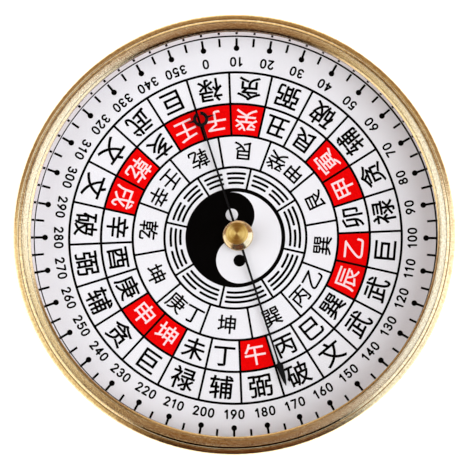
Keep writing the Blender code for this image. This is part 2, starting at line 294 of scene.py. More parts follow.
def cap_metal():
    """Brass with concentric tool marks on its flat top and a polished flank; the top is painted a deeper
    brass than the flank, painted shade on the top and painted highlight on the flank.
    """
    mat, n, shader = new_material("cap_turned_brass", Metallic=1.0, Anisotropic_Rotation=0.25)
    place = n.position()
    split = n.add("ShaderNodeSeparateXYZ")
    n.link(place, split.inputs[0])
    x = n.math("SUBTRACT", split.outputs[0], PIVOT_XY[0] * MM)
    y = n.math("SUBTRACT", split.outputs[1], PIVOT_XY[1] * MM)
    radius = n.math("SQRT", n.math("ADD", n.math("MULTIPLY", x, x), n.math("MULTIPLY", y, y)))
    join = n.add("ShaderNodeCombineXYZ")
    n.link(n.math("MULTIPLY", radius, 9000.0), join.inputs[0])
    n.link(n.math("MULTIPLY", split.outputs[2], 5000.0), join.inputs[1])
    rings = n.noise(join.outputs[0], 1.0, 2.0, 0.6)
    top = n.ramp(split.outputs[2], (DIAL_TOP + 5.12) * MM, (DIAL_TOP + 5.19) * MM)
    n.link(n.math("ADD", n.math("MULTIPLY", top, 0.43), 0.5), shader.inputs["Anisotropic"])
    centre = n.add("ShaderNodeVectorMath", operation="CROSS_PRODUCT")
    spot = n.add("ShaderNodeCombineXYZ")
    n.link(x, spot.inputs[0])
    n.link(y, spot.inputs[1])
    centre.inputs[1].default_value = (0.0, 0.0, 1.0)
    n.link(spot.outputs[0], centre.inputs[0])
    unit = n.add("ShaderNodeVectorMath", operation="NORMALIZE")
    n.link(centre.outputs[0], unit.inputs[0])
    n.link(unit.outputs[0], shader.inputs["Tangent"])
    tone = n.ramp(rings, 0.36, 0.64)
    # Two copies of one brass: the deeper top is painted shade, the paler flank painted highlight.
    flat = n.blend(tone, (0.74, 0.44, 0.09, 1.0), (0.98, 0.72, 0.26, 1.0))
    side = n.blend(tone, (0.92, 0.74, 0.46, 1.0), (0.98, 0.84, 0.58, 1.0))
    n.link(n.blend(top, side, flat), shader.inputs["Base Color"])
    rough = n.math("ADD", n.math("MULTIPLY", top, 0.19), n.ramp(rings, 0.3, 0.7, 0.09, 0.15))
    n.link(rough, shader.inputs["Roughness"])
    n.link(n.bump(rings, 0.06, 0.00008), shader.inputs["Normal"])
    return mat


def wall_metal():
    """Mirror-polished ring with a faint rosy cast and a few hair lines."""
    mat, n, shader = new_material(
        "polished_wall_metal", Metallic=1.0, Anisotropic=0.3, Anisotropic_Rotation=0.25
    )
    tangent = n.add("ShaderNodeTangent", direction_type="RADIAL", axis="Z")
    n.link(tangent.outputs[0], shader.inputs["Tangent"])
    way, _ = n.polar(30.0, 3000.0, 5200.0)
    hair = n.noise(way, 1.0, 2.0, 0.5)
    n.link(
        n.blend(n.ramp(hair, 0.35, 0.65), (0.90, 0.79, 0.76, 1.0), (0.97, 0.88, 0.85, 1.0)),
        shader.inputs["Base Color"],
    )
    n.link(n.ramp(hair, 0.3, 0.7, 0.015, 0.04), shader.inputs["Roughness"])
    n.link(n.bump(hair, 0.008, 0.00003), shader.inputs["Normal"])
    return mat


def dial_enamel():
    """Cool white satin enamel with a barely seen orange-peel."""
    mat, n, shader = new_material(
        "dial_enamel", Specular_IOR_Level=0.2, Coat_Weight=0.0
    )
    place = n.position()
    grain = n.noise(place, 5200.0, 2.0, 0.6)
    cloud = n.noise(place, 140.0, 3.0, 0.5)
    mixed = n.math("ADD", n.math("MULTIPLY", grain, 0.55), n.math("MULTIPLY", cloud, 0.45))
    n.link(
        n.blend(n.ramp(mixed, 0.35, 0.65), (0.740, 0.765, 0.830, 1.0), (0.775, 0.800, 0.863, 1.0)),
        shader.inputs["Base Color"],
    )
    n.link(n.ramp(cloud, 0.3, 0.7, 0.38, 0.5), shader.inputs["Roughness"])
    n.link(n.bump(grain, 0.03, 0.00002), shader.inputs["Normal"])
    return mat


def ink(name, dark, light, rough=0.45, spec=0.15, scale=6500.0):
    """Screen-printed ink: nearly even, with a fine grain in tone and gloss."""
    mat, n, shader = new_material(name, Specular_IOR_Level=spec)
    place = n.position()
    grain = n.noise(place, scale, 2.0, 0.6)
    n.link(
        n.blend(n.ramp(grain, 0.3, 0.7), (*dark, 1.0), (*light, 1.0)),
        shader.inputs["Base Color"],
    )
    n.link(n.ramp(grain, 0.3, 0.7, rough - 0.07, rough + 0.07), shader.inputs["Roughness"])
    n.link(n.bump(grain, 0.05, 0.00001), shader.inputs["Normal"])
    return mat


def moulded(name, dark, light, rough, scale, bump=0.1, metallic=0.0, spec=0.5):
    mat, n, shader = new_material(name, Metallic=metallic, Specular_IOR_Level=spec)
    place = n.position()
    grain = n.noise(place, scale, 3.0, 0.55)
    n.link(
        n.blend(n.ramp(grain, 0.35, 0.65), (*dark, 1.0), (*light, 1.0)),
        shader.inputs["Base Color"],
    )
    n.link(n.ramp(grain, 0.3, 0.7, rough - 0.06, rough + 0.06), shader.inputs["Roughness"])
    n.link(n.bump(grain, bump, 0.00003), shader.inputs["Normal"])
    return mat


def clear_crystal():
    """Clear flat crystal: what is under it shows straight through, and its
    front faces mirror a little more at a grazing look."""
    mat = bpy.data.materials.new("clear_crystal")
    mat.use_nodes = True
    n = Nodes(mat.node_tree)
    mat.node_tree.nodes.remove(mat.node_tree.nodes["Principled BSDF"])
    out = mat.node_tree.nodes["Material Output"]
    through = n.add("ShaderNodeBsdfTransparent")
    through.inputs["Color"].default_value = (0.985, 0.99, 0.99, 1.0)
    gloss = n.add("ShaderNodeBsdfAnisotropic")
    gloss.inputs["Color"].default_value = (1.0, 1.0, 1.0, 1.0)
    smear = n.noise(n.position(), 90.0, 2.0, 0.5)
    n.link(n.ramp(smear, 0.3, 0.7, 0.015, 0.05), gloss.inputs["Roughness"])
    fresnel = n.add("ShaderNodeFresnel")
    fresnel.inputs["IOR"].default_value = 1.5
    back = n.add("ShaderNodeNewGeometry").outputs["Backfacing"]
    front = n.math("SUBTRACT", 1.0, back)
    mix = n.add("ShaderNodeMixShader")
    n.link(n.math("MULTIPLY", fresnel.outputs[0], front), mix.inputs[0])
    n.link(through.outputs[0], mix.inputs[1])
    n.link(gloss.outputs[0], mix.inputs[2])
    n.link(mix.outputs[0], out.inputs["Surface"])
    return mat


CASE_METAL = turned_brass(
    "case_turned_brass", (0.95, 0.80, 0.47), (0.72, 0.53, 0.27), 0.19, 0.05, 5200.0,
)
# A darker, satin copy of the case brass for the outer side wall and the base: its darker colour is painted
# shade that keeps the side from washing out against the bright floor.
SHADED_SIDE_METAL = turned_brass(
    "case_side_brass_painted_shade", (0.56, 0.40, 0.18), (0.38, 0.26, 0.10), 0.27, 0.07, 5200.0,
    bump=0.25, coat=0.3,
)
# Bezel brass with painted shade and dark reflections in its groove, seam and lip.
BEZEL_METAL = turned_brass(
    "bezel_turned_brass_seam_shade", (0.95, 0.815, 0.49), (0.72, 0.53, 0.28), 0.19, 0.06, 5200.0,
    bump=0.45, fleck=0.6, seam=True,
)
CAP_METAL = cap_metal()
FITTING_BRASS = turned_brass(
    "fitting_brass_turned", (0.76, 0.52, 0.24), (0.60, 0.38, 0.16), 0.32, 0.06, 6000.0,
    aniso=0.6, bump=0.08, cells=24.0, fleck=0.3, coat=0.0,
)
WALL = wall_metal()
ENAMEL = dial_enamel()
INK_BLACK = ink("ink_black_print", (0.0003, 0.0003, 0.0004), (0.0008, 0.0008, 0.0010), 0.5, 0.008)
INK_RED = ink("ink_red_print", (0.66, 0.0004, 0.0008), (0.80, 0.0010, 0.0016), 0.5, 0.01, 2600.0)
INK_WHITE = ink("ink_white_print", (0.84, 0.62, 0.67), (0.92, 0.72, 0.76), 0.5, 0.1)
CRYSTAL = clear_crystal()
# Near-black for the dial's outer rim and hidden underside; on the dial's top it is a painted shadow gap
# between the dial and the wall.
DIAL_EDGE_SHADOW = moulded("dial_edge_painted_shadow", (0.0008, 0.0007, 0.0007), (0.002, 0.002, 0.002), 0.6, 2500.0, spec=0.02)
SEAL = moulded("seal_rubber_matt", (0.020, 0.021, 0.020), (0.038, 0.039, 0.036), 0.65, 3000.0)
BACKING = moulded("backing_moulded", (0.016, 0.016, 0.017), (0.030, 0.030, 0.032), 0.55, 900.0)
STEEL = moulded("steel_polished", (0.55, 0.55, 0.57), (0.68, 0.68, 0.70), 0.18, 2500.0, 0.04, 1.0)
NEEDLE = moulded(
    "needle_blackened", (0.0025, 0.0025, 0.0030), (0.006, 0.006, 0.007), 0.45, 2600.0, 0.08, 0.0, 0.06
)
JEWEL = moulded("jewel_polished", (0.30, 0.012, 0.02), (0.42, 0.02, 0.03), 0.12, 800.0, 0.01)


# ------------------------------------------------------------- mesh helpers
def add_object(name, mesh, mat, body, smooth_deg=32.0):
    for poly_mat in (mat,):
        mesh.materials.append(poly_mat)
    mesh.validate()
    if smooth_deg:
        mesh.shade_smooth()
        mesh.set_sharp_from_angle(angle=math.radians(smooth_deg))
    obj = bpy.data.objects.new(name, mesh)
    scene.collection.objects.link(obj)
    if body:
        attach(obj, body)
    return obj


def arc(cx, cz, radius, start, end, count):
    out = []
    for i in range(count + 1):
        a = math.radians(start + (end - start) * i / count)
        out.append((cx + radius * math.cos(a), cz + radius * math.sin(a)))
    return out


def turned(name, profile, segments, mat, body, closed, centre=(0.0, 0.0), smooth_deg=32.0):
    """A profile of (radius, height) or (radius, height, sway) swept round Z.
    The sway moves a point's radius with the cosine of its place on the turn,
    for a groove that isn't quite concentric."""
    turn = np.arange(segments) * (2.0 * math.pi / segments)
    verts = []
    rows = []
    for point in profile:
        r, z = point[0], point[1]
        sway = point[2] if len(point) > 2 else 0.0
        if r == 0.0:
            rows.append([len(verts)] * segments)
            verts.append((0.0, 0.0, z))
            continue
        start = len(verts)
        for a in turn:
            radius = r + sway * math.cos(a - math.radians(225.0))
            verts.append((radius * math.cos(a), radius * math.sin(a), z))
        rows.append(list(range(start, start + segments)))
    if closed:
        rows.append(rows[0])
    faces = []
    for low, high in zip(rows[:-1], rows[1:]):
        for i in range(segments):
            j = (i + 1) % segments
            ring = [low[i], high[i], high[j], low[j]]
            face = [v for k, v in enumerate(ring) if v not in ring[:k]]
            if len(face) > 2:
                faces.append(face)
    mesh = bpy.data.meshes.new(name)
    mesh.from_pydata(
        [((x + centre[0]) * MM, (y + centre[1]) * MM, z * MM) for x, y, z in verts], [], faces
    )
    work = bmesh.new()
    work.from_mesh(mesh)
    bmesh.ops.recalc_face_normals(work, faces=work.faces)
    work.to_mesh(mesh)
    work.free()
    return add_object(name, mesh, mat, body, smooth_deg)


def outline_mesh(name, loops, z0, z1, bevel=0.0, segments=0, resolution=1):
    """A mesh of flat closed loops (mm) with thickness from z0 to z1 (mm)."""
    curve = bpy.data.curves.new(name, "CURVE")
    curve.dimensions = "2D"
    curve.fill_mode = "BOTH"
    curve.extrude = max(0.5 * (z1 - z0) - bevel, 0.0) * MM
    curve.bevel_depth = bevel * MM
    curve.bevel_resolution = segments
    curve.offset = -bevel * MM
    for loop in loops:
        spline = curve.splines.new("POLY")
        spline.points.add(len(loop) - 1)
        flat = np.zeros((len(loop), 4))
        flat[:, :2] = np.asarray(loop) * MM
        flat[:, 3] = 1.0
        spline.points.foreach_set("co", flat.ravel())
        spline.use_cyclic_u = True
    obj = bpy.data.objects.new(name, curve)
    scene.collection.objects.link(obj)
    bpy.context.view_layer.update()
    mesh = bpy.data.meshes.new_from_object(
        obj.evaluated_get(bpy.context.evaluated_depsgraph_get())
    )
    bpy.data.objects.remove(obj, do_unlink=True)
    bpy.data.curves.remove(curve)
    mesh.transform(Matrix.Translation((0.0, 0.0, 0.5 * (z0 + z1) * MM)))
    mesh.name = name
    mesh.materials.clear()
    return mesh


def weld(mesh, distance=0.0000008):
    work = bmesh.new()
    work.from_mesh(mesh)
    bmesh.ops.remove_doubles(work, verts=work.verts, dist=distance)
    bmesh.ops.dissolve_degenerate(work, edges=work.edges, dist=distance * 0.5)
    bmesh.ops.recalc_face_normals(work, faces=work.faces)
    work.to_mesh(mesh)
    work.free()
    return mesh


def joined(name, meshes, mat, body, smooth_deg=40.0):
    work = bmesh.new()
    for mesh in meshes:
        work.from_mesh(mesh)
    for mesh in meshes:
        bpy.data.meshes.remove(mesh)
    out = bpy.data.meshes.new(name)
    work.to_mesh(out)
    work.free()
    return add_object(name, out, mat, body, smooth_deg)


# -------------------------------------------------------- the turned pieces
TURNS = 384

# Case: cup with a half-round bead at its mouth, a plain slightly tapered
# wall and a flat base with a shallow ring turned in it.
bead_r, bead_c, bead_z = 0.62, 39.44, 10.06
cup = [(0.0, 0.7), (37.90, 0.7)]
cup += arc(37.90, 1.3, 0.6, -80.0, 0.0, 5)
cup += [(38.50, 2.75), (38.68, 3.00), (38.70, 8.9), (38.70, 10.34), (38.74, 10.38)]
cup += [(39.03, 10.40), (39.065, 10.43), (39.072, 10.52), (39.072, 10.70)]
cup += arc(39.214, 10.662, 0.16, 152.0, 76.0, 9)
cup += arc(38.475, 8.389, 2.55, 72.0, 61.0, 7)
cup += arc(bead_c, bead_z, bead_r, 58.0, -58.0, 28)
cup += arc(39.78, 9.47, 0.10, 118.0, 180.0, 3)
cup += [(39.56, 9.40), (39.40, 9.30), (39.30, 9.20), (39.265, 9.06), (39.26, 8.9)]
cup += [(38.86, 1.20)]
cup += arc(38.26, 0.60, 0.60, 0.0, -84.0, 10)
cup += [(34.0, 0.0), (33.95, 0.05), (33.85, 0.05), (33.80, 0.0), (0.0, 0.0)]
case = turned("case_cup_turned", cup, TURNS, CASE_METAL, "case", closed=False)
# The outer side wall and the base take the darker copy of the brass: painted shade.
case.data.materials.append(SHADED_SIDE_METAL)
for face in case.data.polygons:
    centre = face.center
    if centre.z < 9.38 * MM and (
        math.hypot(centre.x, centre.y) > 38.75 * MM or centre.z < 0.65 * MM
    ):
        face.material_index = 1
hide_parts("case_cup")

# Bezel: an outer chamfer, a band dished toward the crystal, a fine valley and
# a lip that rolls down onto the crystal.
LIP_XY = (0.01, 0.115)   # the lip's edge isn't quite concentric
band = [
    (38.99, 10.54), (38.54, 10.54), (38.50, 10.50), (38.50, 9.06), (38.44, 9.0),
    (38.16, 9.0), (38.10, 9.06), (38.10, 10.48), (38.06, 10.54), (36.89, 10.54),
    (36.85, 10.56), (36.83, 10.60), (36.835, 10.66), (36.85, 10.72), (36.89, 10.785),
    (36.94, 10.845), (37.01, 10.90), (37.12, 10.975), (37.22, 11.03), (37.29, 11.058),
    (37.36, 11.068), (37.41, 11.058), (37.45, 11.05), (37.49, 11.06), (37.56, 11.08),
    (37.75, 11.12), (37.90, 11.15), (38.05, 11.178), (38.20, 11.205), (38.40, 11.235),
    (38.55, 11.245), (38.61, 11.236), (38.66, 11.212), (38.76, 11.136), (38.86, 11.060),
    (38.955, 10.988), (38.99, 10.95), (39.008, 10.90), (39.013, 10.82), (39.015, 10.60),
    (39.005, 10.56),
]
bezel = turned("bezel_ring_turned", band, TURNS, BEZEL_METAL, "case", closed=True, smooth_deg=38.0)
for vert in bezel.data.vertices:
    lean = min(max((37.45 - math.hypot(vert.co.x, vert.co.y) / MM) / 0.4, 0.0), 1.0)
    vert.co.x += LIP_XY[0] * lean * MM
    vert.co.y += LIP_XY[1] * lean * MM
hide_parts("bezel_ring")

WALL_FOOT_XY = (-0.105, 0.195)
wall_profile = [
    (36.60, DIAL_TOP), (36.606, DIAL_TOP + 0.1), (36.76, 0.5 * (DIAL_TOP + 9.00)), (36.914, 8.90),
    (36.92, 9.00),
    (36.925, 9.08), (36.935, 9.14), (36.96, 9.18), (36.99, 9.20), (37.03, 9.20), (37.06, 9.17),
    (37.06, 8.72), (37.12, 8.66), (38.22, 8.66), (38.30, 8.58), (38.30, 3.13), (38.22, 3.05),
    (36.68, 3.05), (36.60, 3.13),
]
wall = turned("inner_wall_polished", wall_profile, TURNS, WALL, "case", closed=True)
for vert in wall.data.vertices:
    lean = 1.0 - min(max((vert.co.z / MM - DIAL_TOP) / (9.0 - DIAL_TOP), 0.0), 1.0)
    if math.hypot(vert.co.x, vert.co.y) < 37.0 * MM:
        vert.co.x += WALL_FOOT_XY[0] * lean * MM
        vert.co.y += WALL_FOOT_XY[1] * lean * MM
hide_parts("inner_wall_ring")

disc_xy = (WALL_FOOT_XY[0] - 0.01, WALL_FOOT_XY[1] + 0.01)
disc_top = turned(
    "dial_plate_enamelled",
    [
        (0.56, DIAL_TOP - 0.80), (36.46, DIAL_TOP - 0.80), (36.54, DIAL_TOP - 0.72),
        (36.54, DIAL_TOP - 0.02), (36.53, DIAL_TOP), (36.465, DIAL_TOP), (0.56, DIAL_TOP),
    ],
    TURNS, ENAMEL, "case", closed=True, centre=disc_xy,
)
disc_top.data.materials.append(DIAL_EDGE_SHADOW)
# The painted shadow gap's inner border is moved per angle: wider near 42 degrees and narrower near 160
# degrees, clockwise from +Y.
for vert in disc_top.data.vertices:
    x, y = vert.co.x - disc_xy[0] * MM, vert.co.y - disc_xy[1] * MM
    reach = math.hypot(x, y)
    if 36.45 * MM < reach < 36.48 * MM and vert.co.z > (DIAL_TOP - 0.01) * MM:
        turn = math.atan2(x, y)
        inward = -0.020 + 0.045 * max(0.0, math.cos(turn - math.radians(42.0))) ** 0.7
        inward -= 0.035 * max(0.0, math.cos(turn - math.radians(160.0)))
        vert.co.x -= x * inward * MM / reach
        vert.co.y -= y * inward * MM / reach
# Top faces beyond 36.40 mm and the underside take the near-black: on the top it is a painted shadow gap.
for face in disc_top.data.polygons:
    reach = math.hypot(face.center.x - disc_xy[0] * MM, face.center.y - disc_xy[1] * MM)
    if reach > 36.40 * MM or face.normal.z < -0.5:
        face.material_index = 1
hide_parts("dial_plate")

gasket_profile = arc(37.52, 9.09, 0.12, 90.0, 270.0, 8) + arc(37.83, 9.09, 0.12, -90.0, 90.0, 8)
gasket = turned("crystal_seal_ring", gasket_profile, TURNS // 2, SEAL, "case", closed=True)
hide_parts("crystal_gasket")

# Hub cap: slightly crowned top with turned rings and a pip, a waist under it
# and a polished cone with a thin edge.
T = DIAL_TOP
cap = [(0.0, T + 5.280)]
ring_r = 0.06
while ring_r < 1.80:
    crown = 0.075 * (1.0 - (ring_r / 1.97) ** 2)
    cap += [
        (ring_r, T + 5.205 + crown), (ring_r + 0.045, T + 5.225 + crown),
        (ring_r + 0.09, T + 5.222 + crown),
    ]
    ring_r += 0.185
cap += [(1.88, T + 5.220), (1.95, T + 5.212), (2.00, T + 5.19), (2.035, T + 5.14)]
cap += [(2.04, T + 5.07), (2.02, T + 4.98), (1.68, T + 2.75), (1.655, T + 2.30)]
cap += [(1.66, T + 2.20), (1.70, T + 2.13), (2.10, T + 1.94), (2.40, T + 1.78)]
cap += [(2.60, T + 1.645), (2.70, T + 1.56), (2.765, T + 1.485), (2.795, T + 1.41)]
cap += [(2.80, T + 1.28), (2.785, T + 1.24), (2.75, T + 1.22)]
cap += [(1.75, T + 1.22), (1.75, T + 0.36), (1.71, T + 0.32), (1.49, T + 0.32)]
cap += [(1.45, T + 0.36), (1.45, T + 4.60), (0.0, T + 4.60)]
hub_cap = turned(
    "hub_cap_turned", cap, 128, CAP_METAL, "needle", closed=False, centre=PIVOT_XY, smooth_deg=50.0
)
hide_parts("hub_cap")


# Needle blade: a thin flat strip with eased edges, arrow tip, ring tail with
# two barbs and a gap at its outer end.
def blade_half():
    hub_r, (r0, r1) = 2.6, (0.78, 1.39)
    half_w, tip, ring_c = 0.17, 28.72, 22.36
    half = [(tip, 0.0), (tip - 0.10, 0.08), (tip - 0.8, 0.27), (tip - 2.0, 0.46)]
    half += [(tip - 3.8, 0.62), (tip - 3.95, 0.62), (tip - 4.05, 0.57), (tip - 4.18, 0.42)]
    half += [(tip - 4.45, 0.28)]
    half += [(tip - 4.9, half_w + 0.02), (tip - 5.6, half_w)]
    start = math.degrees(math.asin(half_w / hub_r))
    half += [(hub_r + 3.0, half_w + 0.04), (hub_r + 0.2, half_w + 0.06)]
    half += arc(0.0, 0.0, hub_r, start + 3.0, 177.0 - start, 40)
    half += [(-hub_r - 0.2, half_w + 0.06), (-hub_r - 3.0, half_w + 0.04)]
    start = math.degrees(math.asin(half_w / r1))
    half += [(-ring_c + r1 + 0.55, half_w), (-ring_c + r1 + 0.18, half_w + 0.04)]
    half += arc(-ring_c, 0.0, r1, start + 4.0, 80.0, 16)
    half += [(-ring_c + 0.19, 1.50), (-ring_c + 0.05, 2.62), (-ring_c - 0.03, 2.62)]
    half += [(-ring_c - 0.19, 1.50)]
    gap_out = 180.0 - math.degrees(math.asin(0.29 / r1))
    half += arc(-ring_c, 0.0, r1, 100.0, gap_out, 16)
    gap_in = 180.0 - math.degrees(math.asin(0.20 / r0))
    half += arc(-ring_c, 0.0, r0, gap_in, 0.0, 24)
    return half


upper = blade_half()
lower = [(x, -y) for x, y in reversed(upper[1:-1])]
hub_hole = [(x, y) for x, y in arc(0.0, 0.0, 2.05, 0.0, 356.25, 95)]
blade_mesh = weld(
    outline_mesh("needle_blade_formed", [upper + lower, hub_hole], T + 0.80, T + 1.02, 0.035, 2)
)
blade_mesh.transform(
    Matrix.Translation((PIVOT_XY[0] * MM, PIVOT_XY[1] * MM, 0.0))
    @ Matrix.Rotation(math.radians(NEEDLE_DEG), 4, "Z")
)
blade = add_object("needle_blade_formed", blade_mesh, NEEDLE, "needle", 40.0)
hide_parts("needle_blade")

# CAD pieces whose shape is right keep their meshes and get a finish.
for node, mat in {
    "dial_support": BACKING,
    "crystal": CRYSTAL,
    "pivot_post": FITTING_BRASS,
    "pivot_pin": STEEL,
    "pivot_nut": FITTING_BRASS,
    "pivot_washer": STEEL,
    "hub_jewel": JEWEL,
    "hub_collar": FITTING_BRASS,
}.items():
    slots = nodes[node].material_slots
    if not len(slots):
        nodes[node].data.materials.append(mat)
    for slot in slots:
        slot.material = mat


# ----------------------------------------------------------------- the print
# Each layer of ink is a thin closed solid a hair above the enamel.
LAY0 = DIAL_TOP + 0.004


def dial_point(radius, degrees):
    """Dial drawing units and degrees clockwise from zero, to mm in the frame."""
    a = math.radians(degrees + DIAL_TURN)
    return (
        DIAL_XY[0] + radius * U * math.sin(a),
        DIAL_XY[1] + radius * U * math.cos(a),
    )


def ring_loops(r_in, r_out, count=360):
    outer = [dial_point(r_out, 360.0 * i / count) for i in range(count)]
    inner = [dial_point(r_in, 360.0 * i / count) for i in range(count)]
    return [outer, inner]


def sector(r_in, r_out, start, end, step=1.5):
    count = max(2, int(abs(end - start) / step) + 1)
    loop = [dial_point(r_out, start + (end - start) * i / count) for i in range(count + 1)]
    loop += [dial_point(r_in, end + (start - end) * i / count) for i in range(count + 1)]
    return loop


def spoke(degrees, r0, r1, width, taper=1.0):
    """A straight line along a radius."""
    x0, y0 = dial_point(r0, degrees)
    x1, y1 = dial_point(r1, degrees)
    dx, dy = x1 - x0, y1 - y0
    length = math.hypot(dx, dy)
    nx, ny = -dy / length * 0.5 * width * U, dx / length * 0.5 * width * U
    return [(x0 + nx, y0 + ny), (x1 + nx, y1 + ny), (x1 - nx, y1 - ny), (x0 - nx, y0 - ny)]


def round_bar(r, start, end, width, steps=18):
    """A curved bar along a circle with rounded-off ends."""
    half = 0.5 * width
    ease = math.degrees(0.28 * width / r)
    loop = []
    for i in range(steps + 1):
        loop.append(dial_point(r + half, start + ease + (end - start - 2 * ease) * i / steps))
    loop.append(dial_point(r + 0.55 * half, end))
    loop.append(dial_point(r - 0.55 * half, end))
    for i in range(steps + 1):
        loop.append(dial_point(r - half, end - ease - (end - start - 2 * ease) * i / steps))
    loop.append(dial_point(r - 0.55 * half, start))
    loop.append(dial_point(r + 0.55 * half, start))
    return loop


def disc(cx, cy, radius, count=48):
    return [
        (cx + radius * math.cos(2 * math.pi * i / count), cy + radius * math.sin(2 * math.pi * i / count))
        for i in range(count)
    ]


def print_piece(name, groups, z0, z1, mat):
    meshes = [weld(outline_mesh(f"{name}_{i}", loops, z0, z1)) for i, loops in enumerate(groups)]
    obj = joined(name, meshes, mat, "case")
    return obj


# Rings and the lines between cells
R_TRI, R_INNER, R_MOUNT, R_STAR = 71.0, 102.81, 134.56, 166.45
LINE = 2.4
print_piece(
    "print_ring_lines",
    [ring_loops(r - 0.5 * LINE, r + 0.5 * LINE) for r in (R_TRI, R_INNER, R_MOUNT, R_STAR)],
    LAY0, LAY0 + 0.021, INK_BLACK,
)
cells = [[spoke(22.5 + 45.0 * k, 49.0, R_TRI, 2.2)] for k in range(8)]
cells += [[spoke(30.0 * k, R_TRI, R_INNER, 2.2)] for k in range(12)]
cells += [[spoke(7.5 + 15.0 * k, R_INNER, R_STAR, 2.25)] for k in range(24)]
print_piece("print_cell_lines", cells, LAY0, LAY0 + 0.019, INK_BLACK)

# Degree scale: a dot and tick at each ten degrees, a tick at each five
marks = []
for k in range(72):
    deg = 5.0 * k
    end = 200.9
    while math.dist(dial_point(end, deg), disc_xy) > 36.50:
        end -= 0.1
    if k % 2 == 0:
        cx, cy = dial_point(190.73, deg)
        marks.append([disc(cx, cy, 2.85 * U)])
        marks.append([spoke(deg, 192.0, end, 2.35)])
    else:
        marks.append([spoke(deg, 192.4, end, 2.25)])
print_piece("print_degree_scale", marks, LAY0, LAY0 + 0.018, INK_BLACK)


# Degree numbers, drawn with a pen of even width
def pen_arc(cx, cy, rx, ry, start, end, count=14, power=2.0):
    out = []
    for i in range(count + 1):
        a = math.radians(start + (end - start) * i / count)
        c, s = math.cos(a), math.sin(a)
        e = 2.0 / power
        out.append(
            (cx + rx * math.copysign(abs(c) ** e, c), cy + ry * math.copysign(abs(s) ** e, s))
        )
    return out


TOP, SIDE = 4.03, 2.33
DIGITS = {
    "0": [pen_arc(0, 0, SIDE, TOP, 0, 360, 40, 2.35)],
    "1": [[(-1.35, 2.35), (0.55, TOP)], [(0.55, TOP), (0.55, -TOP)]],
    "2": [
        pen_arc(0.0, 1.95, 2.15, 2.08, 165, -32, 16) + [(-2.05, -TOP)],
        [(-2.05, -TOP), (2.3, -TOP)],
    ],
    "3": [
        pen_arc(-0.1, 2.1, 2.0, 1.93, 155, -78, 16) + [(-0.7, 0.25)],
        [(-0.7, 0.25)] + pen_arc(-0.05, -1.87, 2.3, 2.16, 78, -152, 18),
    ],
    "4": [[(1.0, TOP), (-2.45, -1.75)], [(-2.45, -1.75), (2.5, -1.75)], [(1.0, TOP), (1.0, -TOP)]],
    "5": [
        [(1.9, TOP), (-1.55, TOP)],
        [(-1.55, TOP), (-1.85, 0.15)],
        [(-1.85, 0.15)] + pen_arc(-0.05, -1.45, 2.3, 2.58, 128, -148, 20),
    ],
    "6": [pen_arc(0, -1.65, 2.25, 2.38, 0, 360, 36), [(1.25, TOP), (-0.7, 1.75), (-1.95, -0.45)]],
    "7": [[(-2.2, TOP), (2.25, TOP)], [(2.25, TOP), (-0.75, -TOP)]],
    "8": [pen_arc(0, 2.08, 1.85, 1.95, 0, 360, 32), pen_arc(0, -1.93, 2.25, 2.1, 0, 360, 34)],
    "9": [pen_arc(0, 1.65, 2.25, 2.38, 0, 360, 36), [(-1.25, -TOP), (0.7, -1.75), (1.95, 0.45)]],
}
ADVANCE = {digit: 7.7 for digit in DIGITS}
ADVANCE["1"] = 6.6
PEN = 0.94                # half the pen's width, drawing units


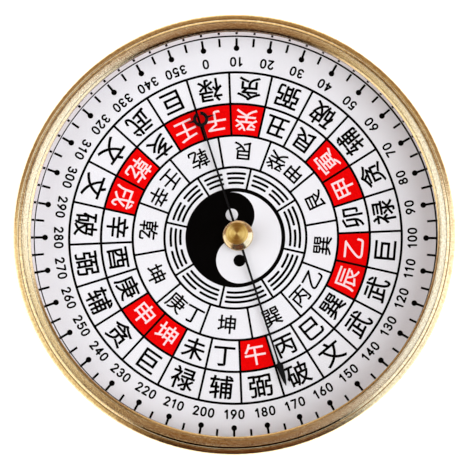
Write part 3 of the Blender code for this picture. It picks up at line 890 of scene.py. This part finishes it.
def grown_outline(segs, grow, cell, filled):
    """Closed loops at a distance `grow` outside line segments (x0, y0, x1, y1).
    With `filled` the segments are outlines whose inside counts as ink."""
    low = segs.reshape(-1, 2).min(0) - grow - 2.5 * cell
    high = segs.reshape(-1, 2).max(0) + grow + 2.5 * cell
    xs = np.arange(low[0], high[0], cell)
    ys = np.arange(low[1], high[1], cell)
    reach = grow + 3.0 * cell
    away = np.full((len(xs), len(ys)), reach)
    solid = np.zeros(away.shape, bool)
    for x0, y0, x1, y1 in segs:
        i0, i1 = np.searchsorted(xs, (min(x0, x1) - reach, max(x0, x1) + reach))
        j0, j1 = np.searchsorted(ys, (min(y0, y1) - reach, max(y0, y1) + reach))
        gx, gy = xs[i0:i1, None], ys[None, j0:j1]
        dx, dy = x1 - x0, y1 - y0
        size = max(dx * dx + dy * dy, 1e-12)
        t = np.clip(((gx - x0) * dx + (gy - y0) * dy) / size, 0.0, 1.0)
        near = np.hypot(gx - x0 - t * dx, gy - y0 - t * dy)
        away[i0:i1, j0:j1] = np.minimum(away[i0:i1, j0:j1], near)
        if filled:
            span = (y0 <= ys) != (y1 <= ys)
            if span.any():
                at = x0 + (ys[span] - y0) * dx / dy
                solid[:, span] ^= xs[:, None] < at[None, :]
    inside = grow - np.where(solid, -away, away)
    inside[np.abs(inside) < 1e-9] = 1e-9
    cut = {}

    def cross(i0, j0, i1, j1):
        key = (i0, j0, i1, j1)
        if key not in cut:
            a, b = inside[i0, j0], inside[i1, j1]
            t = a / (a - b)
            cut[key] = (
                xs[i0] + (xs[i1] - xs[i0]) * t,
                ys[j0] + (ys[j1] - ys[j0]) * t,
            )
        return key

    ink = inside > 0
    full = (
        ink[:-1, :-1].astype(int) + ink[1:, :-1].astype(int)
        + ink[1:, 1:].astype(int) + ink[:-1, 1:].astype(int)
    )
    follow = {}
    for i, j in np.argwhere((full > 0) & (full < 4)).tolist():
        corners = [ink[i, j], ink[i + 1, j], ink[i + 1, j + 1], ink[i, j + 1]]
        edges = [
            (i, j, i + 1, j), (i + 1, j, i + 1, j + 1),
            (i, j + 1, i + 1, j + 1), (i, j, i, j + 1),
        ]
        marks_in = []
        marks_out = []
        for k in range(4):
            a, b = corners[k], corners[(k + 1) % 4]
            if a and not b:
                marks_out.append(k)
            elif b and not a:
                marks_in.append(k)
        pairs = []
        if len(marks_out) == 1:
            pairs = [(marks_out[0], marks_in[0])]
        else:
            middle = inside[i:i + 2, j:j + 2].mean() > 0
            for k in marks_out:
                step = 1 if middle else -1
                pairs.append((k, (k + step) % 4))
        for k_out, k_in in pairs:
            follow[cross(*edges[k_out])] = cross(*edges[k_in])
    loops = []
    left = dict(follow)
    while left:
        start = next(iter(left))
        loop = []
        here = start
        while here in left:
            loop.append(cut[here])
            here = left.pop(here)
        loops.append(thinned(loop))
    return [loop for loop in loops if len(loop) > 3]


def pen_outline(strokes, half, cell=0.16):
    """Closed loops round strokes of a pen of even width."""
    segs = np.array(
        [(*a, *b) for path in strokes for a, b in zip(path[:-1], path[1:])], float
    )
    return grown_outline(segs, half, cell, False)


def thinned(loop, tolerance=0.012):
    """Drops points that lie on a straight run."""
    points = np.array(loop)
    keep = [0]
    i = 0
    count = len(points)
    while i < count - 1:
        j = i + 2
        while j < count and j - i < 14:
            a, b = points[i], points[j]
            span = b - a
            size = math.hypot(*span)
            if size < 1e-9:
                break
            mid = points[i + 1:j] - a
            off = np.abs(mid[:, 0] * span[1] - mid[:, 1] * span[0]) / size
            if off.max() > tolerance:
                break
            j += 1
        i = j - 1
        if i < count - 1:
            keep.append(i)
    keep.append(count - 1)
    return [tuple(points[k]) for k in keep]


GLYPHS = {digit: pen_outline(strokes, PEN) for digit, strokes in DIGITS.items()}


def set_text(origin, turn, loops, shift):
    """Loops in drawing units, moved along the line of text and turned."""
    c, s = math.cos(turn), math.sin(turn)
    out = []
    for loop in loops:
        placed = []
        for x, y in loop:
            x, y = (x + shift) * U, y * U
            placed.append((origin[0] + c * x - s * y, origin[1] + s * x + c * y))
        out.append(placed)
    return out


NUMBER_R = 177.0
numbers = []
for k in range(36):
    label = str(10 * k)
    widths = [ADVANCE[d] for d in label]
    place = -0.5 * sum(widths)
    turn = math.radians(180.0 - (10.0 * k + DIAL_TURN))
    for digit, width in zip(label, widths):
        numbers.append(
            set_text(dial_point(NUMBER_R, 10.0 * k), turn, GLYPHS[digit], place + 0.5 * width)
        )
        place += width
print_piece("print_degree_numbers", numbers, LAY0, LAY0 + 0.018, INK_BLACK)


# Traditional direction characters
OUTLINES = {}


def character(text, size, radius, degrees, weight):
    """One character's closed loops, its top toward the dial's centre; size
    and added weight in drawing units."""
    key = (text, size, weight)
    if key not in OUTLINES:
        curve = bpy.data.curves.new("character", "FONT")
        curve.body = text
        curve.size = size
        curve.fill_mode = "NONE"
        curve.resolution_u = 4
        obj = bpy.data.objects.new("character", curve)
        scene.collection.objects.link(obj)
        bpy.context.view_layer.update()
        mesh = bpy.data.meshes.new_from_object(
            obj.evaluated_get(bpy.context.evaluated_depsgraph_get())
        )
        bpy.data.objects.remove(obj, do_unlink=True)
        bpy.data.curves.remove(curve)
        spots = np.empty(3 * len(mesh.vertices))
        mesh.vertices.foreach_get("co", spots)
        spots = spots.reshape(-1, 3)[:, :2] - (0.5 * size, 0.3825 * size)
        ends = np.empty(2 * len(mesh.edges), int)
        mesh.edges.foreach_get("vertices", ends)
        bpy.data.meshes.remove(mesh)
        segs = spots[ends.reshape(-1, 2)].reshape(-1, 4)
        OUTLINES[key] = grown_outline(segs, weight, 0.15, True)
    turn = math.radians(180.0 - (degrees + DIAL_TURN))
    return set_text(dial_point(radius, degrees), turn, OUTLINES[key], 0.0)


STARS = "禄贪弼破辅贪禄巨武武文破弼辅禄巨贪辅弼破文文武巨"
MOUNTAINS = "子癸丑艮寅甲卯乙辰巽巳丙午丁未坤申庚酉辛戌乾亥壬"
RED_CELLS = "壬子癸寅甲乙辰午坤申戌乾"
TWELVE = ["艮", "癸甲", "艮", "巽", "乙丙", "巽", "坤", "丁庚", "坤", "乾", "辛壬", "乾"]
STAR_SIZE, MOUNT_SIZE, TWELVE_SIZE = 24.8, 23.3, 20.0
WEIGHT, WHITE_WEIGHT, INNER_WEIGHT = 0.40, 0.16, 0.30

star_text = [character(c, STAR_SIZE, 150.3, 15.0 * k, WEIGHT) for k, c in enumerate(STARS)]
print_piece("print_star_ring", star_text, LAY0, LAY0 + 0.018, INK_BLACK)
mount_black = [
    character(c, MOUNT_SIZE, 118.5, 15.0 * k, WEIGHT)
    for k, c in enumerate(MOUNTAINS)
    if c not in RED_CELLS
]
print_piece("print_mountain_ring", mount_black, LAY0, LAY0 + 0.018, INK_BLACK)
mount_white = [
    character(c, MOUNT_SIZE, 118.5, 15.0 * k, WHITE_WEIGHT)
    for k, c in enumerate(MOUNTAINS)
    if c in RED_CELLS
]
print_piece(
    "print_mountain_white", mount_white, LAY0 + 0.0125, LAY0 + 0.024, INK_WHITE
)
red = [
    [sector(R_INNER, R_MOUNT, 15.0 * k - 7.5, 15.0 * k + 7.5)]
    for k, c in enumerate(MOUNTAINS)
    if c in RED_CELLS
]
print_piece("print_mountain_red_cells", red, LAY0, LAY0 + 0.011, INK_RED)
inner_text = []
for k, text in enumerate(TWELVE):
    places = (0.0,) if len(text) == 1 else (-6.9, 6.9)
    for c, place in zip(text, places):
        inner_text.append(
            character(c, TWELVE_SIZE, 87.2, 30.0 * k + 15.0 + place, INNER_WEIGHT)
        )
print_piece("print_inner_text", inner_text, LAY0, LAY0 + 0.018, INK_BLACK)

# The eight trigrams, bottom line outermost; 1 is a whole line
TRIGRAMS = ["000", "100", "101", "110", "111", "011", "010", "001"]
bars = []
for k, lines in enumerate(TRIGRAMS):
    for whole, r in zip(lines, (64.8, 60.0, 55.2)):
        reach = 22.5 - math.degrees(3.7 / r)
        gap = math.degrees(2.0 / r)
        centre = 45.0 * k
        if whole == "1":
            bars.append([round_bar(r, centre - reach, centre + reach, 2.45)])
        else:
            bars.append([round_bar(r, centre - reach, centre - gap, 2.45, 10)])
            bars.append([round_bar(r, centre + gap, centre + reach, 2.45, 10)])
print_piece("print_trigrams", bars, LAY0, LAY0 + 0.018, INK_BLACK)

# The taiji: ring, dark half with its light eye, and the dark eye
TAIJI = 46.2


def taiji_arc(cx, cy, radius, start, end, count):
    out = []
    for i in range(count + 1):
        a = math.radians(start + (end - start) * i / count)
        x, y = cx + radius * math.cos(a), cy + radius * math.sin(a)
        out.append(dial_point(math.hypot(x, y), math.degrees(math.atan2(x, y))))
    return out


half = 0.5 * TAIJI
dark_half = taiji_arc(0.0, 0.0, TAIJI + 0.8, 90.0, 270.0, 96)
dark_half += taiji_arc(0.0, -half, half, 270.0, 90.0, 64)[0:]
dark_half += taiji_arc(0.0, half, half, -90.0, 90.0, 64)[1:]
light_eye = disc(*dial_point(23.4, 1.0), 6.2 * U)
dark_eye = disc(*dial_point(23.3, 179.5), 6.0 * U)
print_piece(
    "print_taiji",
    [[dark_half, light_eye], [dark_eye]],
    LAY0, LAY0 + 0.0165, INK_BLACK,
)
print_piece(
    "print_taiji_ring", [ring_loops(TAIJI, 50.0, 240)], LAY0, LAY0 + 0.0225, INK_BLACK
)


# ------------------------------------------------------------ floor and light
floor_mesh = bpy.data.meshes.new("studio_floor")
floor_mesh.from_pydata(
    [(-12.0, -12.0, 0.0), (12.0, -12.0, 0.0), (12.0, 12.0, 0.0), (-12.0, 12.0, 0.0)],
    [], [(0, 1, 2, 3)],
)
floor = bpy.data.objects.new("studio_floor", floor_mesh)
scene.collection.objects.link(floor)
floor_mat, n, shader = new_material(
    "studio_floor_paper", Roughness=0.9, Specular_IOR_Level=0.1,
    Emission_Color=(1.0, 1.0, 1.0), Emission_Strength=0.60,
)
paper = n.noise(n.position(), 60.0, 3.0, 0.5)
n.link(
    n.blend(paper, (0.78, 0.78, 0.785, 1.0), (0.82, 0.82, 0.825, 1.0)),
    shader.inputs["Base Color"],
)
floor_mesh.materials.append(floor_mat)

world = bpy.data.worlds.new("studio")
scene.world = world
world.use_nodes = True
n = Nodes(world.node_tree)
backdrop = world.node_tree.nodes["Background"]
split = n.add("ShaderNodeSeparateXYZ")
n.link(n.add("ShaderNodeTexCoord").outputs["Generated"], split.inputs[0])
X, Y, Z = split.outputs
azimuth = n.math("ARCTAN2", X, Y)
height = n.math("ARCSINE", n.math("MINIMUM", n.math("MAXIMUM", Z, -1.0), 1.0))


def panel(az, half_width, az_soft, low, high, el_soft, strength):
    """The light of one panel seen from the object; degrees, clockwise from
    +Y and up from the floor, with soft borders."""
    away = n.math(
        "ABSOLUTE",
        n.math("WRAP", n.math("SUBTRACT", azimuth, math.radians(az)), math.pi, -math.pi),
    )
    wide = n.ramp(
        away, math.radians(half_width + az_soft), math.radians(half_width - az_soft),
        0.0, 1.0, True,
    )
    above = n.ramp(
        height, math.radians(low - el_soft), math.radians(low + el_soft), 0.0, strength, True
    )
    below = n.ramp(
        height, math.radians(high + el_soft), math.radians(high - el_soft), 0.0, 1.0, True
    )
    return n.math("MULTIPLY", wide, n.math("MULTIPLY", above, below))


def toward_dot(az, el):
    """Cosine of the angle between a ray and one direction."""
    a, e = math.radians(az), math.radians(el)
    return n.math(
        "ADD",
        n.math("MULTIPLY", X, math.sin(a) * math.cos(e)),
        n.math(
            "ADD",
            n.math("MULTIPLY", Y, math.cos(a) * math.cos(e)),
            n.math("MULTIPLY", Z, math.sin(e)),
        ),
    )


PANELS = (
    (110.0, 34.0, 4.0, -6.0, 74.0, 6.0, 4.2),     # tall key on the right
    (55.0, 22.0, 14.0, 34.0, 70.0, 8.0, 0.70),    # its spill behind
    (0.0, 45.0, 15.0, 34.0, 78.0, 8.0, 0.26),     # glow behind
    (272.0, 33.0, 17.0, 40.0, 76.0, 6.0, 3.2),    # high panel on the left
    (246.0, 30.0, 6.0, -6.0, 42.0, 6.0, 1.00),    # low card on the left
    (355.0, 26.0, 8.0, -6.0, 34.0, 6.0, 0.75),    # low card behind
)
ROOM = (
    (0.0, 200.0, 1.0, -6.0, 76.0, 5.0, 0.10),
    (0.0, 200.0, 1.0, 44.0, 76.0, 7.0, 0.07),
    (0.0, 200.0, 1.0, 76.0, 120.0, 5.0, 0.48),
)
# The same room as polished metal mirrors it, held below white as on film
MIRRORED = (
    (107.0, 36.0, 5.0, -8.0, 54.0, 5.0, 1.00, (1.00, 1.06, 1.16)),    # key
    (107.0, 36.0, 5.0, -8.0, 27.0, 5.0, 0.22, (0.80, 1.00, 1.60)),    # key, foot
    (102.0, 38.0, 6.0, 54.0, 79.0, 5.0, 1.10, (1.00, 1.26, 1.66)),    # key, upper part
    (48.0, 18.0, 9.0, 54.0, 79.0, 5.0, 0.80, (1.00, 1.04, 0.86)),     # its spill
    (246.0, 31.0, 6.0, -8.0, 27.0, 5.0, 1.12, (1.00, 1.00, 0.96)),    # low left
    (253.0, 32.0, 8.0, 27.0, 54.0, 5.0, 0.66, (1.00, 0.98, 0.76)),    # left
    (288.0, 34.0, 9.0, 54.0, 79.0, 5.0, 1.08, (1.00, 1.27, 1.70)),    # high left
    (241.0, 15.0, 8.0, 54.0, 79.0, 5.0, 0.56, (1.00, 1.02, 0.74)),    # its spill
    (358.0, 26.0, 9.0, -8.0, 24.0, 5.0, 0.74, (1.00, 0.90, 0.66)),    # low back
    (355.0, 62.0, 10.0, 26.0, 58.0, 6.0, 0.06, (1.00, 0.90, 0.62)),   # back wall
    (0.0, 200.0, 1.0, 58.0, 80.0, 6.0, 0.20, (1.00, 0.44, 0.17)),     # room, high
    (340.0, 130.0, 8.0, -8.0, 58.0, 6.0, 0.32, (1.00, 0.57, 0.25)),   # room
    (177.0, 24.0, 8.0, 28.0, 58.0, 6.0, 0.11, (1.00, 0.32, 0.09)),    # dark end
    (0.0, 200.0, 1.0, 80.0, 120.0, 4.0, 0.75, (1.10, 0.76, 0.50)),    # ceiling
)


def summed(entries):
    total = None
    for entry in entries:
        part = panel(*entry)
        total = part if total is None else n.math("ADD", total, part)
    return total


def tinted(entries):
    total = None
    for entry in entries:
        part = n.add("ShaderNodeVectorMath", operation="SCALE")
        part.inputs[0].default_value = entry[7]
        n.link(panel(*entry[:7]), part.inputs["Scale"])
        if total is None:
            total = part.outputs[0]
        else:
            both = n.add("ShaderNodeVectorMath", operation="ADD")
            n.link(total, both.inputs[0])
            n.link(part.outputs[0], both.inputs[1])
            total = both.outputs[0]
    return total


# The crystal mirrors this small dark patch of the ceiling at the camera.
patch = n.ramp(
    toward_dot(332.5, 84.0), math.cos(math.radians(9.5)), math.cos(math.radians(5.5)),
    1.0, 0.03, True,
)
white = n.math("MULTIPLY", summed(PANELS), patch)
warm = n.math("MULTIPLY", summed(ROOM), patch)
glow = n.add("ShaderNodeCombineColor")
for socket, share in zip(glow.inputs, (1.30, 0.68, 0.38)):
    n.link(n.math("ADD", white, n.math("MULTIPLY", warm, share)), socket)
mirrored = n.add("ShaderNodeVectorMath", operation="SCALE")
n.link(tinted(MIRRORED), mirrored.inputs[0])
n.link(patch, mirrored.inputs["Scale"])
glossy = n.add("ShaderNodeLightPath").outputs["Is Glossy Ray"]
n.link(n.blend(glossy, glow.outputs[0], mirrored.outputs[0]), backdrop.inputs["Color"])
backdrop.inputs["Strength"].default_value = 1.0

scene.view_settings.view_transform = "Standard"
scene.view_settings.look = "None"
scene.view_settings.exposure = 0.0
scene.view_settings.gamma = 1.0

# ---------------------------------------------------------------- the camera
TILT, AZIMUTH = math.radians(6.07), math.radians(152.5)
DISTANCE, FOCAL = 1.5911, 8761.0
toward = Vector(
    (
        math.sin(TILT) * math.sin(AZIMUTH),
        math.sin(TILT) * math.cos(AZIMUTH),
        math.cos(TILT),
    )
)
right = (-toward).cross(Vector((0.0, 1.0, 0.0))).normalized()
up = right.cross(-toward).normalized()
aim = Vector((0.0, 0.0, DIAL_TOP * MM))
aim -= right * (2.85 * DISTANCE / FOCAL)
aim += up * (4.49 * DISTANCE / FOCAL)
camera_data = bpy.data.cameras.new("studio_camera")
camera_data.sensor_fit = "HORIZONTAL"
camera_data.sensor_width = 36.0
camera_data.lens = 36.0 * FOCAL / 466.0
camera_data.clip_start = 0.05
camera_data.clip_end = 100.0
camera = bpy.data.objects.new("studio_camera", camera_data)
scene.collection.objects.link(camera)
basis = Matrix((right, up, toward)).transposed().to_4x4()
camera.matrix_world = Matrix.Translation(aim + toward * DISTANCE) @ basis
scene.camera = camera
